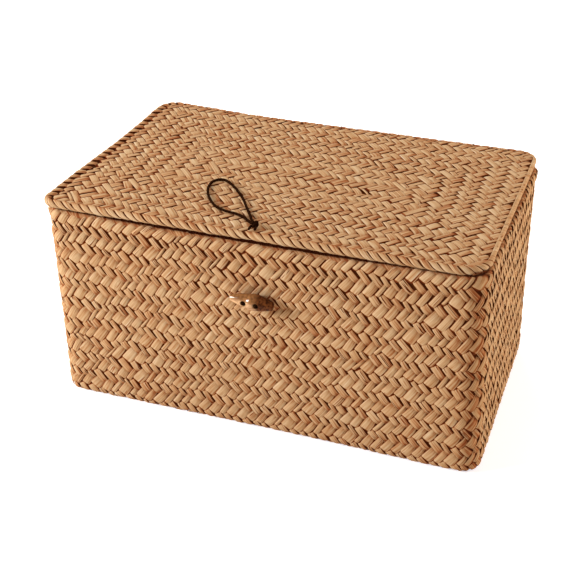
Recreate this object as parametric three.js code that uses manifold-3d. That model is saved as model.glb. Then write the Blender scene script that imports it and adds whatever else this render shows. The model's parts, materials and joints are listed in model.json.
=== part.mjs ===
// A plaited storage box with a hinged lid, a cord loop and a wooden toggle.
// Millimetres, +Z up. The origin is the middle of the underside. +X runs along the box and the
// toggle is on the -Y wall.
import * as THREE from 'three';
import { mergeVertices } from 'three/addons/utils/BufferGeometryUtils.js';
import Module from 'manifold-3d';

const wasm = await Module();
wasm.setup();

// Body
const RIM_LENGTH = 340;
const RIM_DEPTH = 211.5;
const BASE_LENGTH = 346;
const BASE_DEPTH = 196;
const BODY_HEIGHT = 172;
const BODY_CORNER_RADIUS = 16;
const BASE_EDGE_RADIUS = 6;
const RIM_FOLD_HEIGHT = 3.4;

// Both the body and the lid are two plaited layers with a clearance between them.
const PLAIT_THICKNESS = 2.2;
const CLEARANCE = 0.3;

// Lid
const LID_END_OVERHANG = 0.5;
const LID_FRONT_OVERHANG = 1.5;
const LID_BACK_OVERHANG = 1;
const LID_CORNER_RADIUS = 15;
const LID_FOLD_THICKNESS = 0.9;
const LID_FOLD_WIDTH = 5;

// Cord
const CORD_DIAMETER = 2;

// Toggle
const TOGGLE_LENGTH = 34;
const TOGGLE_DIAMETER = 13;
const TOGGLE_LEFT_END_DIAMETER = 5.5;
const TOGGLE_RIGHT_END_DIAMETER = 8;
const TOGGLE_END_ROUNDING = 1;
const TOGGLE_HEIGHT = 125;
const TOGGLE_HOLE_SPACING = 10;
const TOGGLE_SEAT_DIAMETER = 4;
const TOGGLE_SEAT_DEPTH = 3.4;
const TOGGLE_KNOT_DIAMETER = 3.2;
const TOGGLE_CORD_BEND = 1.5;

// Hinge ties
const TIE_NAMES = ['left', 'middle', 'right'];
const TIE_SPACING = 115;
const TIE_RADIUS = 4.8;

// Knot that anchors the loop
const KNOT_OFFSET_X = -1.6;
const KNOT_SETBACK = 11;
const KNOT_LEAD = 1.5;
const KNOT_WIDTH = 5.2;
const KNOT_LENGTH = 6;
const KNOT_HEIGHT = 4.4;
const STOP_KNOT_DIAMETER = 3.6;
const TAIL_SPREAD = 2;
const TAIL_LENGTH = 6.2;

// Facets
const CORNER_STEPS = 6;
const EDGE_STEPS = 4;
const FOLD_STEPS = 8;
const CORD_SIDES = 8;
const RING_STEPS = 24;
const LATHE_STEPS = 20;
const TOGGLE_STEPS = 14;
const LOOP_STEPS = 52;
const TOGGLE_CORD_STEPS = 26;
const TAIL_STEPS = 4;

// Worked out from the sizes above
const CORD_RADIUS = CORD_DIAMETER / 2;
const CORD_HOLE_RADIUS = CORD_RADIUS + CLEARANCE;
const WALL = 2 * PLAIT_THICKNESS + CLEARANCE;
const LID_LENGTH = RIM_LENGTH + 2 * LID_END_OVERHANG;
const LID_DEPTH = RIM_DEPTH + LID_FRONT_OVERHANG + LID_BACK_OVERHANG;
const LID_CENTRE_Y = (LID_BACK_OVERHANG - LID_FRONT_OVERHANG) / 2;
const LID_THICKNESS = WALL + 2 * (LID_FOLD_THICKNESS + CLEARANCE);
const LID_BOTTOM = BODY_HEIGHT + CLEARANCE;
const LID_TOP = LID_BOTTOM + LID_THICKNESS;
const LID_PANEL_BOTTOM = LID_BOTTOM + LID_FOLD_THICKNESS + CLEARANCE;
const LID_PANEL_TOP = LID_PANEL_BOTTOM + WALL;
const LID_FRONT_Y = LID_CENTRE_Y - LID_DEPTH / 2;
const HINGE_Y = LID_CENTRE_Y + LID_DEPTH / 2;
const HINGE_Z = BODY_HEIGHT + CLEARANCE / 2;

// The loop's route over the lid: distance along X from the knot's stem and back from the lid's
// front edge. Both ends meet at the back of the knot.
const LOOP_ROUTE = [
  [-2.3, 13.0], [-6.0, 16.1], [-13.1, 22.1], [-20.5, 25.6], [-30.4, 27.7], [-39.4, 32.3],
  [-47.8, 41.8], [-54.6, 53.4], [-57.6, 62.6], [-58.0, 71.8], [-54.8, 76.8], [-50.6, 77.3],
  [-46.3, 75.0], [-36.1, 65.2], [-25.8, 52.1], [-16.4, 37.0], [-9.6, 26.1], [-4.3, 17.6],
  [-0.2, 13.7],
];

// Points round a rectangle with rounded corners, anticlockwise from above.
function outline(length, depth, radius, z, centreY = 0) {
  const ring = [];
  for (let corner = 0; corner < 4; corner += 1) {
    const alongX = corner === 0 || corner === 3 ? 1 : -1;
    const alongY = corner < 2 ? 1 : -1;
    for (let step = 0; step <= CORNER_STEPS; step += 1) {
      const angle = (corner + step / CORNER_STEPS) * Math.PI / 2;
      const x = alongX * (length / 2 - radius) + radius * Math.cos(angle);
      const y = alongY * (depth / 2 - radius) + radius * Math.sin(angle);
      ring.push(new THREE.Vector3(x, y + centreY, z));
    }
  }
  return ring;
}

// The body's outline at a height, drawn in from its outer face.
function bodyOutline(z, inset) {
  const share = z / BODY_HEIGHT;
  const length = THREE.MathUtils.lerp(BASE_LENGTH, RIM_LENGTH, share);
  const depth = THREE.MathUtils.lerp(BASE_DEPTH, RIM_DEPTH, share);
  return outline(length - 2 * inset, depth - 2 * inset, BODY_CORNER_RADIUS - inset, z);
}

// The lid's outline at a height, drawn in from its outer edge.
function lidOutline(z, inset) {
  const length = LID_LENGTH - 2 * inset;
  const depth = LID_DEPTH - 2 * inset;
  return outline(length, depth, LID_CORNER_RADIUS - inset, z, LID_CENTRE_Y);
}

// How far the front wall's outer face is from the middle at a height.
function frontFace(z) {
  return -THREE.MathUtils.lerp(BASE_DEPTH, RIM_DEPTH, z / BODY_HEIGHT) / 2;
}

// A closed surface through a stack of equal rings, with flat ends or with its ends joined.
function loft(rings, joined) {
  const count = rings[0].length;
  const bands = joined ? rings.length : rings.length - 1;
  const index = [];
  for (let band = 0; band < bands; band += 1) {
    const lower = band * count;
    const upper = ((band + 1) % rings.length) * count;
    for (let here = 0; here < count; here += 1) {
      const next = (here + 1) % count;
      index.push(lower + here, lower + next, upper + next);
      index.push(lower + here, upper + next, upper + here);
    }
  }
  if (!joined) {
    const top = (rings.length - 1) * count;
    for (let here = 1; here < count - 1; here += 1) {
      index.push(0, here + 1, here);
      index.push(top, top + here, top + here + 1);
    }
  }
  const geometry = new THREE.BufferGeometry();
  const positions = rings.flat().flatMap((point) => point.toArray());
  geometry.setAttribute('position', new THREE.Float32BufferAttribute(positions, 3));
  geometry.setIndex(index);
  return geometry;
}

function toSolid(geometry) {
  const bare = geometry.clone();
  bare.deleteAttribute('normal');
  bare.deleteAttribute('uv');
  const merged = mergeVertices(bare);
  return new wasm.Manifold(new wasm.Mesh({
    numProp: 3,
    vertProperties: new Float32Array(merged.attributes.position.array),
    triVerts: new Uint32Array(merged.index.array),
  }));
}

function toGeometry(solid) {
  const mesh = solid.getMesh();
  const geometry = new THREE.BufferGeometry();
  geometry.setAttribute('position', new THREE.BufferAttribute(mesh.vertProperties, 3));
  geometry.setIndex(new THREE.BufferAttribute(mesh.triVerts, 1));
  geometry.computeVertexNormals();
  return geometry;
}

function cut(geometry, tools) {
  return toGeometry(tools.reduce((solid, tool) => solid.subtract(toSolid(tool)), toSolid(geometry)));
}

function join(geometries) {
  return toGeometry(geometries.map(toSolid).reduce((solid, other) => solid.add(other)));
}

// A round cord along a curve.
function cordAlong(curve, steps) {
  const section = new THREE.Shape();
  for (let side = 0; side < CORD_SIDES; side += 1) {
    const angle = side / CORD_SIDES * 2 * Math.PI;
    const x = CORD_RADIUS * Math.cos(angle);
    const y = CORD_RADIUS * Math.sin(angle);
    if (side === 0) {
      section.moveTo(x, y);
    } else {
      section.lineTo(x, y);
    }
  }
  section.closePath();
  return new THREE.ExtrudeGeometry(section, { steps, extrudePath: curve });
}

function ellipsoid(width, length, height, centre) {
  const geometry = new THREE.SphereGeometry(0.5, LATHE_STEPS, TOGGLE_STEPS);
  geometry.scale(width, length, height);
  geometry.translate(centre.x, centre.y, centre.z);
  return geometry;
}

// A round rod between two points on a line along Y or Z.
function rod(radius, start, end) {
  const span = new THREE.Vector3().subVectors(end, start);
  const geometry = new THREE.CylinderGeometry(radius, radius, span.length(), CORD_SIDES * 2);
  const up = new THREE.Vector3(0, 1, 0);
  geometry.applyQuaternion(new THREE.Quaternion().setFromUnitVectors(up, span.normalize()));
  geometry.translate((start.x + end.x) / 2, (start.y + end.y) / 2, (start.z + end.z) / 2);
  return geometry;
}

// One plaited layer of the body, base and walls, drawn in from the outer face.
function bodyLayer(offset) {
  const wallTop = BODY_HEIGHT - RIM_FOLD_HEIGHT - CLEARANCE;
  const skin = (inset) => {
    const radius = BASE_EDGE_RADIUS - inset;
    const rings = [];
    for (let step = 0; step <= EDGE_STEPS; step += 1) {
      const angle = step / EDGE_STEPS * Math.PI / 2;
      const z = BASE_EDGE_RADIUS - radius * Math.cos(angle);
      rings.push(bodyOutline(z, BASE_EDGE_RADIUS - radius * Math.sin(angle)));
    }
    rings.push(bodyOutline(wallTop, inset));
    return rings;
  };
  return loft([...skin(offset), ...skin(offset + PLAIT_THICKNESS).reverse()], false);
}

// The course folded over the top of both layers.
function rimFold() {
  const foot = BODY_HEIGHT - RIM_FOLD_HEIGHT;
  const rings = [];
  for (let step = 0; step <= FOLD_STEPS; step += 1) {
    const angle = step / FOLD_STEPS * Math.PI;
    const z = foot + RIM_FOLD_HEIGHT * Math.sin(angle);
    rings.push(bodyOutline(z, WALL / 2 * (1 - Math.cos(angle))));
  }
  return loft(rings, true);
}

function lidPanel(bottom) {
  const inset = LID_THICKNESS / 2;
  return loft([lidOutline(bottom, inset), lidOutline(bottom + PLAIT_THICKNESS, inset)], false);
}

// The wrapped edge: a channel with a round back, open towards the middle of the lid.
function lidFold() {
  const middle = (LID_BOTTOM + LID_TOP) / 2;
  const outerRadius = LID_THICKNESS / 2;
  const innerRadius = outerRadius - LID_FOLD_THICKNESS;
  const round = (radius) => {
    const rings = [];
    for (let step = 0; step <= FOLD_STEPS; step += 1) {
      const angle = (step / FOLD_STEPS - 0.5) * Math.PI;
      const inset = outerRadius - radius * Math.cos(angle);
      rings.push(lidOutline(middle + radius * Math.sin(angle), inset));
    }
    return rings;
  };
  return loft([
    lidOutline(LID_BOTTOM, LID_FOLD_WIDTH),
    ...round(outerRadius),
    lidOutline(LID_TOP, LID_FOLD_WIDTH),
    lidOutline(LID_TOP - LID_FOLD_THICKNESS, LID_FOLD_WIDTH),
    ...round(innerRadius).reverse(),
    lidOutline(LID_BOTTOM + LID_FOLD_THICKNESS, LID_FOLD_WIDTH),
  ], true);
}

// A ring of cord round the hinge line, so a lid on it can turn without meeting it.
function tieRing(x, cordRadius) {
  const ring = new THREE.TorusGeometry(TIE_RADIUS, cordRadius, CORD_SIDES, RING_STEPS);
  ring.rotateY(Math.PI / 2);
  ring.translate(x, HINGE_Y, HINGE_Z);
  return ring;
}

const tiePlaces = TIE_NAMES.map((name, place) => (place - (TIE_NAMES.length - 1) / 2) * TIE_SPACING);
const tieHoles = tiePlaces.map((x) => tieRing(x, CORD_HOLE_RADIUS));

// The toggle's axis lies along X, against the front wall.
const toggleRadius = TOGGLE_DIAMETER / 2;
const toggleY = frontFace(TOGGLE_HEIGHT) - CLEARANCE - toggleRadius;
const toggleHoles = [-1, 1].map((side) => side * TOGGLE_HOLE_SPACING / 2);

// The toggle's radius at a place along it, from -1 at the left end to 1 at the right end.
function toggleRadiusAt(share) {
  const end = (share < 0 ? TOGGLE_LEFT_END_DIAMETER : TOGGLE_RIGHT_END_DIAMETER) / 2;
  return end + (toggleRadius - end) * Math.cos(share * Math.PI / 2);
}

// Where the floor of a hole's seat is, in front of the toggle's axis.
function seatFloor(x) {
  return toggleY - toggleRadiusAt(2 * x / TOGGLE_LENGTH) + TOGGLE_SEAT_DEPTH;
}

function toggleSolid() {
  const half = TOGGLE_LENGTH / 2;
  const profile = [new THREE.Vector2(0, -half)];
  profile.push(new THREE.Vector2(toggleRadiusAt(-1) - TOGGLE_END_ROUNDING, -half));
  for (let step = 0; step <= TOGGLE_STEPS; step += 1) {
    const along = (2 * step / TOGGLE_STEPS - 1) * (half - TOGGLE_END_ROUNDING);
    profile.push(new THREE.Vector2(toggleRadiusAt(along / half), along));
  }
  profile.push(new THREE.Vector2(toggleRadiusAt(1) - TOGGLE_END_ROUNDING, half));
  profile.push(new THREE.Vector2(0, half));
  const barrel = new THREE.LatheGeometry(profile, LATHE_STEPS);
  barrel.rotateZ(-Math.PI / 2);
  barrel.translate(0, toggleY, TOGGLE_HEIGHT);
  const tools = toggleHoles.flatMap((x) => {
    const front = new THREE.Vector3(x, toggleY - TOGGLE_DIAMETER, TOGGLE_HEIGHT);
    const back = new THREE.Vector3(x, toggleY + TOGGLE_DIAMETER, TOGGLE_HEIGHT);
    const floor = new THREE.Vector3(x, seatFloor(x), TOGGLE_HEIGHT);
    return [rod(CORD_HOLE_RADIUS, front, back), rod(TOGGLE_SEAT_DIAMETER / 2, front, floor)];
  });
  return cut(barrel, tools);
}

// The holes that the toggle's cord takes through the front wall.
const wallHoles = toggleHoles.map((x) => {
  const outside = new THREE.Vector3(x, toggleY, TOGGLE_HEIGHT);
  const inside = new THREE.Vector3(x, frontFace(TOGGLE_HEIGHT) + 2 * WALL, TOGGLE_HEIGHT);
  return rod(CORD_HOLE_RADIUS, outside, inside);
});

// The toggle's cord: in through one hole, across the inside of the wall and out through the other.
function toggleCord() {
  const inner = frontFace(TOGGLE_HEIGHT) + WALL + CLEARANCE + TOGGLE_CORD_BEND;
  const [left, right] = toggleHoles.map((x) => {
    const y = seatFloor(x) - CLEARANCE - TOGGLE_KNOT_DIAMETER / 2;
    return new THREE.Vector3(x, y, TOGGLE_HEIGHT);
  });
  const at = (x, y) => new THREE.Vector3(x, y, TOGGLE_HEIGHT);
  const path = new THREE.CurvePath();
  path.add(new THREE.LineCurve3(left, at(left.x, inner - TOGGLE_CORD_BEND)));
  path.add(new THREE.QuadraticBezierCurve3(
    at(left.x, inner - TOGGLE_CORD_BEND), at(left.x, inner), at(left.x + TOGGLE_CORD_BEND, inner),
  ));
  path.add(new THREE.LineCurve3(
    at(left.x + TOGGLE_CORD_BEND, inner), at(right.x - TOGGLE_CORD_BEND, inner),
  ));
  path.add(new THREE.QuadraticBezierCurve3(
    at(right.x - TOGGLE_CORD_BEND, inner), at(right.x, inner), at(right.x, inner - TOGGLE_CORD_BEND),
  ));
  path.add(new THREE.LineCurve3(at(right.x, inner - TOGGLE_CORD_BEND), right));
  const knots = [left, right].map((centre) => ellipsoid(
    TOGGLE_KNOT_DIAMETER, TOGGLE_KNOT_DIAMETER, TOGGLE_KNOT_DIAMETER, centre,
  ));
  return join([cordAlong(path, TOGGLE_CORD_STEPS), ...knots]);
}

// The loop's knot stands over its stem and leans towards the lid's front edge.
const stem = new THREE.Vector3(KNOT_OFFSET_X, LID_FRONT_Y + KNOT_SETBACK, 0);
const knotCentre = new THREE.Vector3(stem.x, stem.y - KNOT_LEAD, LID_TOP + CLEARANCE + KNOT_HEIGHT / 2);
const stopKnotZ = LID_PANEL_BOTTOM - CLEARANCE - STOP_KNOT_DIAMETER / 2;
const stemTop = new THREE.Vector3(stem.x, stem.y, knotCentre.z);
const stemFoot = new THREE.Vector3(stem.x, stem.y, stopKnotZ);
const stemHole = rod(CORD_HOLE_RADIUS, stemFoot, stemTop);

function loopKnot() {
  const tailZ = LID_TOP + CLEARANCE + CORD_RADIUS;
  const tails = [-1, 1].map((side) => {
    const start = new THREE.Vector3(knotCentre.x, knotCentre.y, tailZ + CORD_RADIUS);
    const end = new THREE.Vector3(knotCentre.x + side * TAIL_SPREAD, knotCentre.y - TAIL_LENGTH, tailZ);
    const bend = new THREE.Vector3(end.x, (start.y + end.y) / 2, tailZ);
    return cordAlong(new THREE.QuadraticBezierCurve3(start, bend, end), TAIL_STEPS);
  });
  return join([
    ellipsoid(KNOT_WIDTH, KNOT_LENGTH, KNOT_HEIGHT, knotCentre),
    rod(CORD_RADIUS, stemFoot, stemTop),
    ellipsoid(STOP_KNOT_DIAMETER, STOP_KNOT_DIAMETER, STOP_KNOT_DIAMETER, stemFoot),
    ...tails,
  ]);
}

// The loop lies on the lid and its two ends rise to the back of the knot.
function closureLoop() {
  const lying = LID_PANEL_TOP + CLEARANCE + CORD_RADIUS;
  const risen = (lying + knotCentre.z) / 2;
  const last = LOOP_ROUTE.length - 1;
  const points = LOOP_ROUTE.map(([alongX, back], place) => {
    const z = place === 0 || place === last ? risen : lying;
    return new THREE.Vector3(stem.x + alongX, LID_FRONT_Y + back, z);
  });
  return cordAlong(new THREE.CatmullRomCurve3(points, false, 'centripetal'), LOOP_STEPS);
}

const plaitColour = 0xc29467;
const cordColour = 0x2e140a;
const woodColour = 0xa8703f;

function piece(name, geometry, color, roughness) {
  const material = new THREE.MeshStandardMaterial({ color, roughness, metalness: 0 });
  const mesh = new THREE.Mesh(geometry, material);
  mesh.name = name;
  return mesh;
}

const body = new THREE.Group();
body.add(piece('body_outer_plait', cut(bodyLayer(0), [...tieHoles, ...wallHoles]), plaitColour, 0.7));
body.add(piece(
  'body_inner_plait',
  cut(bodyLayer(PLAIT_THICKNESS + CLEARANCE), [...tieHoles, ...wallHoles]),
  plaitColour,
  0.75,
));
body.add(piece('body_rim_fold', cut(rimFold(), tieHoles), plaitColour, 0.7));
body.add(piece('toggle_button', toggleSolid(), woodColour, 0.35));
body.add(piece('toggle_cord', toggleCord(), cordColour, 0.6));
TIE_NAMES.forEach((name, place) => {
  body.add(piece(`hinge_tie_${name}`, tieRing(tiePlaces[place], CORD_RADIUS), cordColour, 0.6));
});

const lid = new THREE.Group();
const underPanelBottom = LID_PANEL_BOTTOM;
const topPanelBottom = LID_PANEL_TOP - PLAIT_THICKNESS;
lid.add(piece('lid_under_plait', cut(lidPanel(underPanelBottom), [...tieHoles, stemHole]), plaitColour, 0.75));
lid.add(piece('lid_top_plait', cut(lidPanel(topPanelBottom), [...tieHoles, stemHole]), plaitColour, 0.7));
lid.add(piece('lid_edge_fold', cut(lidFold(), tieHoles), plaitColour, 0.7));
lid.add(piece('loop_knot', loopKnot(), cordColour, 0.6));
lid.add(piece('closure_loop', closureLoop(), cordColour, 0.6));

const box = new THREE.Group();
box.name = 'plaited_box';
box.add(body);
box.add(lid);

export default box;
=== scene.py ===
import json
import math

import bmesh
import bpy
import numpy as np
from mathutils import Matrix, Vector, noise


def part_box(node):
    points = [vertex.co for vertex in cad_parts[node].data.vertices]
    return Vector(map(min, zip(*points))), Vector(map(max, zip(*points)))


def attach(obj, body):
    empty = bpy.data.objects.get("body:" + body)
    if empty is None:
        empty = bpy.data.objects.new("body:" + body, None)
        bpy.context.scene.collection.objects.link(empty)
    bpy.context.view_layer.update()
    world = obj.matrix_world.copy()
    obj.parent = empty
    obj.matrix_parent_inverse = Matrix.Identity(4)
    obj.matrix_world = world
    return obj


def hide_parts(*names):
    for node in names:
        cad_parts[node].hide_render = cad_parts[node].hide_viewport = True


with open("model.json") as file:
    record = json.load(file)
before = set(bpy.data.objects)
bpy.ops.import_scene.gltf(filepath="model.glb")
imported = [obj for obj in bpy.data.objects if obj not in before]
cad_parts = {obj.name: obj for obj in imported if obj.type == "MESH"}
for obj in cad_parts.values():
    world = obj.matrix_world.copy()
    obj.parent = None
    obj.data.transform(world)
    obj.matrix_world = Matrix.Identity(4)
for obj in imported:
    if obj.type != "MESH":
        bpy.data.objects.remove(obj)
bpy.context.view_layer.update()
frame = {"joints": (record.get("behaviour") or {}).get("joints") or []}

# Sizes of the box, in metres. The frame is the CAD's: +X along the box, the toggle on the -Y wall.
MM = 0.001
BASE_LENGTH = 346 * MM
BASE_DEPTH = 196 * MM
RIM_LENGTH = 340 * MM
RIM_DEPTH = 211.5 * MM
CORNER_RADIUS = 16 * MM
BASE_EDGE_RADIUS = 6 * MM
FLOOR_EDGE_RADIUS = 2.5 * MM
RIM_FOLD_HEIGHT = 3.4 * MM
WALL = 4.7 * MM
CORD_RADIUS = 1 * MM
CLEARANCE = 0.3 * MM

# Points of a mesh that are closer than this are joined
WELD_DISTANCE = 0.01 * MM

# Corner radii of the lid: front right, back right, back left and front left
LID_CORNER_RADII = (23 * MM, 15 * MM, 17 * MM, 11 * MM)

# Sizes read from the frame
BODY_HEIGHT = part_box("body_rim_fold")[1].z
LID_LOW, LID_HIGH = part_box("lid_edge_fold")
LID_LENGTH = LID_HIGH.x - LID_LOW.x
LID_DEPTH = LID_HIGH.y - LID_LOW.y
LID_CENTRE_Y = (LID_HIGH.y + LID_LOW.y) / 2
LID_MIDDLE_Z = (LID_HIGH.z + LID_LOW.z) / 2
LID_EDGE_RADIUS = (LID_HIGH.z - LID_LOW.z) / 2
LID_FIELD_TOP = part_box("lid_top_plait")[1].z
LID_FIELD_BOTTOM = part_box("lid_under_plait")[0].z
HINGE = next(joint for joint in frame["joints"] if joint["name"] == "lid_hinge")["pos_m"]
TIES = {side: (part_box(f"hinge_tie_{side}")[0].x + CORD_RADIUS) for side in ("left", "middle", "right")}
TOGGLE_LOW, TOGGLE_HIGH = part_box("toggle_button")
TOGGLE_MIDDLE = (TOGGLE_LOW + TOGGLE_HIGH) / 2

# The plait: strips laid both ways at a slant, each over two and under two. Its rows of crossings are
# numbered upwards, with 0 on the rim. Strips in the top row reach further to the right, those near the
# loose row have shrunk and split, and those at the front right corner are painted darker as shade.
WALL_STRIPS = 136
WALL_STEP = 4.26 * MM
FIRST_ROW_BELOW_RIM = 7.94 * MM
LID_STEP = (3.7 * MM, 4.1 * MM)
BASE_STEP = (3.9 * MM, 4.2 * MM)
STRIP_TUCK = 1.7 * MM
TOP_ROW = -2
TOP_ROW_LONGER = 0.55
LOOSE_ROW = -4
LOOSE_ROWS = 3
CORNER_PAINTED_SHADE = 0.15
CORNER_PAINTED_SHADE_HALF = 9 * MM
STRIP_STEPS_ALONG = 8
STRIP_STEPS_ACROSS = 4
BODY_CORE_DEPTH = 1.1 * MM
LID_CORE_DEPTH = 1.2 * MM

# The wrapped lid edge, at each end of the legs of the lid's outline from the middle of the front, and
# where the smoothing along the right side ends: how its strips slant, in degrees, how far apart they
# are, in millimetres, how much of that they fill, how much narrower they get over the lid, how round
# they are, in millimetres, how dark the painted shade at their sides and ends is, and how high they
# stand and how far they reach over the lid, both in millimetres. On the right they lie smooth and close
# together, and on the left they are like fingers.
EDGE_STEPS_ALONG = 12
EDGE_SMOOTHING = 10 * MM
EDGE_SLANTS = (42, 42, 42, 42, 42, 42, 42, 24, 24, 42, 42)
EDGE_PITCHES = (7.2, 7.2, 7.2, 7.2, 7.2, 7.2, 7.2, 8.8, 8.8, 7.2, 7.2)
EDGE_FILLS = (0.92, 0.92, 0.96, 1.1, 1.1, 0.94, 0.94, 0.96, 0.96, 0.92, 0.92)
EDGE_TAPERS = (0, 0, 0, 0, 0, 0, 0, 0.45, 0.45, 0, 0)
EDGE_CROWNS = (0.65, 0.65, 0.6, 0.1, 0.1, 0.5, 0.5, 0.5, 0.5, 0.65, 0.65)
EDGE_SIDES = (1, 1, 1, 0.05, 0.05, 0.9, 0.9, 1, 1, 1, 1)
EDGE_LIFTS = (0.05, 0.05, 0, -0.6, -0.6, 0, 0.05, 0.05, 0.05, 0.05, 0.05)
EDGE_WRAPS = (0.8, 0.8, 0.8, 0.8, 0.8, 0.8, 0.8, 5.0, 5.0, 0.8, 0.8)
EDGE_CORE_DEPTH = 1.1 * MM
CORE_WRAP = 10 * MM
CORE_SHEET_INSET = 9 * MM

random = np.random.default_rng(21)


def new_object(name, data):
    made = bpy.data.objects.new(name, data)
    bpy.context.scene.collection.objects.link(made)
    return made


# Camera, solved from the outline of the box. The sensor and the lens are in millimetres.

CAMERA_SENSOR = 36
CAMERA_LENS = 72.86
CAMERA_PLACE = (0.2674, -0.7916, 0.5607)
CAMERA_DOWN = math.radians(30.11)
CAMERA_TURN = math.radians(19.344)


def make_camera():
    data = bpy.data.cameras.new("view_of_the_photo")
    data.sensor_width = CAMERA_SENSOR
    data.lens = CAMERA_LENS
    camera = new_object("view_of_the_photo", data)
    camera.location = CAMERA_PLACE
    camera.rotation_euler = (math.pi / 2 - CAMERA_DOWN, 0, CAMERA_TURN)
    bpy.context.scene.camera = camera


make_camera()


# Mesh helpers

def add_object(mesh, material, body, slot, *nodes):
    """Links a finished piece, rides it on its body and hides the solids that it stands for."""
    piece = new_object(mesh.name, mesh)
    mesh.materials.append(material)
    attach(piece, body)
    if nodes:
        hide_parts(*nodes)
    return piece


def to_mesh(name, bm):
    mesh = bpy.data.meshes.new(name)
    bm.to_mesh(mesh)
    bm.free()
    mesh.shade_smooth()
    return mesh


def grid_with_uv(steps_along, steps_across):
    """A flat grid from -1 to 1 each way, with a UV map named strip from 0 to 1 each way."""
    bm = bmesh.new()
    uv = bm.loops.layers.uv.new("strip")
    bmesh.ops.create_grid(bm, x_segments=steps_along, y_segments=steps_across, size=1)
    for face in bm.faces:
        for loop in face.loops:
            loop[uv].uv = ((loop.vert.co.x + 1) / 2, (loop.vert.co.y + 1) / 2)
    return bm


def grid_shares(bm):
    """Each grid vertex's place along and across, from -1 to 1."""
    places = np.array([vert.co[:2] for vert in bm.verts])
    return places[:, 0], places[:, 1]


def move_verts(bm, points):
    for vert, point in zip(bm.verts, points):
        vert.co = point


def smooth_step(value):
    value = np.clip(value, 0, 1)
    return value * value * (3 - 2 * value)


def smooth_route(points, steps):
    """Points along a centripetal Catmull-Rom curve through the route's points."""
    points = np.array(points, float)
    points = np.vstack([2 * points[0] - points[1], points, 2 * points[-1] - points[-2]])
    spans = len(points) - 3
    route = []
    for place in np.linspace(0, spans, steps + 1):
        first = min(int(place), spans - 1)
        near = points[first:first + 4]
        knots = np.cumsum([0, *np.sqrt(np.linalg.norm(np.diff(near, axis=0), axis=1))])
        t = knots[1] + (place - first) * (knots[2] - knots[1])
        for starts, ends in (([0, 1, 2], [1, 2, 3]), ([0, 1], [2, 3]), ([1], [2])):
            start, end = knots[starts][:, None], knots[ends][:, None]
            near = (near[:-1] * (end - t) + near[1:] * (t - start)) / (end - start)
        route.append(near[0])
    return np.array(route)


CORD_SIDES = 12
CORD_PLIES = 3
CORD_TWIST_LENGTH = 5 * MM
CORD_PLY_DEPTH = 0.06
CORD_START_TURN = 0.3


def twisted_cord(route, radius, closed=False):
    """A tube along a route, with the plies of the cord standing out as a slow twist."""
    route = np.array(route, float)
    count = len(route)
    spans = count if closed else count - 1
    bm = grid_with_uv(spans, CORD_SIDES)
    along, across = grid_shares(bm)
    rows = np.rint((along + 1) / 2 * spans).astype(int) % count
    ahead = np.roll(route, -1, 0) - np.roll(route, 1, 0)
    if not closed:
        ahead[0] = route[1] - route[0]
        ahead[-1] = route[-1] - route[-2]
    ahead /= np.linalg.norm(ahead, axis=1)[:, None]
    side = np.zeros_like(ahead)
    side[0] = np.cross(ahead[0], np.roll(ahead[0], 1) + CORD_START_TURN)
    for row in range(1, count):
        side[row] = side[row - 1] - ahead[row] * np.dot(side[row - 1], ahead[row])
    side /= np.linalg.norm(side, axis=1)[:, None]
    up = np.cross(ahead, side)
    travelled = np.concatenate([[0], np.cumsum(np.linalg.norm(np.diff(route, axis=0), axis=1))])
    turns = max(1, round(travelled[-1] / CORD_TWIST_LENGTH))
    angle = across * math.pi
    turn = rows / spans * turns * math.tau
    reach = radius * (1 + CORD_PLY_DEPTH * np.cos(CORD_PLIES * angle + turn))
    points = route[rows] + reach[:, None] * (
        np.cos(angle)[:, None] * side[rows] + np.sin(angle)[:, None] * up[rows])
    move_verts(bm, points)
    bmesh.ops.remove_doubles(bm, verts=bm.verts, dist=WELD_DISTANCE)
    bmesh.ops.holes_fill(bm, edges=bm.edges, sides=CORD_SIDES + 1)
    bmesh.ops.recalc_face_normals(bm, faces=bm.faces)
    return bm


KNOT_STEPS = 64
KNOT_OPENING = 0.25


def overhand_knot(centre, size, radius):
    """A tight overhand knot: one strand of cord that winds through itself."""
    t = np.linspace(KNOT_OPENING, math.tau - KNOT_OPENING, KNOT_STEPS + 1)
    winding = np.stack([np.sin(t) + 2 * np.sin(2 * t), np.cos(t) - 2 * np.cos(2 * t), -np.sin(3 * t)], -1)
    winding -= (winding.max(0) + winding.min(0)) / 2
    winding *= (np.array(size) / 2 - radius) / winding.max(0)
    return twisted_cord(np.array(centre) + winding, radius)


def joined(*parts):
    """Several bmeshes made one."""
    whole = bmesh.new()
    for part in parts:
        mesh = to_mesh("part", part)
        whole.from_mesh(mesh)
        bpy.data.meshes.remove(mesh)
    return whole


# Shader helpers

def set_inputs(tree, node, inputs):
    """Sets or links a shader node's inputs, by name or place."""
    for socket, value in inputs.items():
        if isinstance(value, bpy.types.NodeSocket):
            tree.links.new(value, node.inputs[socket])
        else:
            node.inputs[socket].default_value = value


def add_node(tree, kind, inputs=None, **settings):
    made = tree.nodes.new(kind)
    for name, value in settings.items():
        setattr(made, name, value)
    set_inputs(tree, made, inputs or {})
    return made


def add_math(tree, operation, first, second=0.0, clamp=False):
    inputs = {0: first, 1: second}
    return add_node(tree, "ShaderNodeMath", inputs, operation=operation, use_clamp=clamp).outputs[0]


def add_mix(tree, factor, first, second):
    inputs = {0: factor, 6: first, 7: second}
    return add_node(tree, "ShaderNodeMix", inputs, data_type="RGBA").outputs[2]


def add_noise(tree, where, scale, detail, **inputs):
    inputs = {"Vector": where, "Scale": scale, "Detail": detail, **inputs}
    return add_node(tree, "ShaderNodeTexNoise", inputs).outputs[0]


def add_bump(tree, strength, depth, height):
    inputs = {"Strength": strength, "Distance": depth, "Height": height}
    return add_node(tree, "ShaderNodeBump", inputs).outputs[0]


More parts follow.
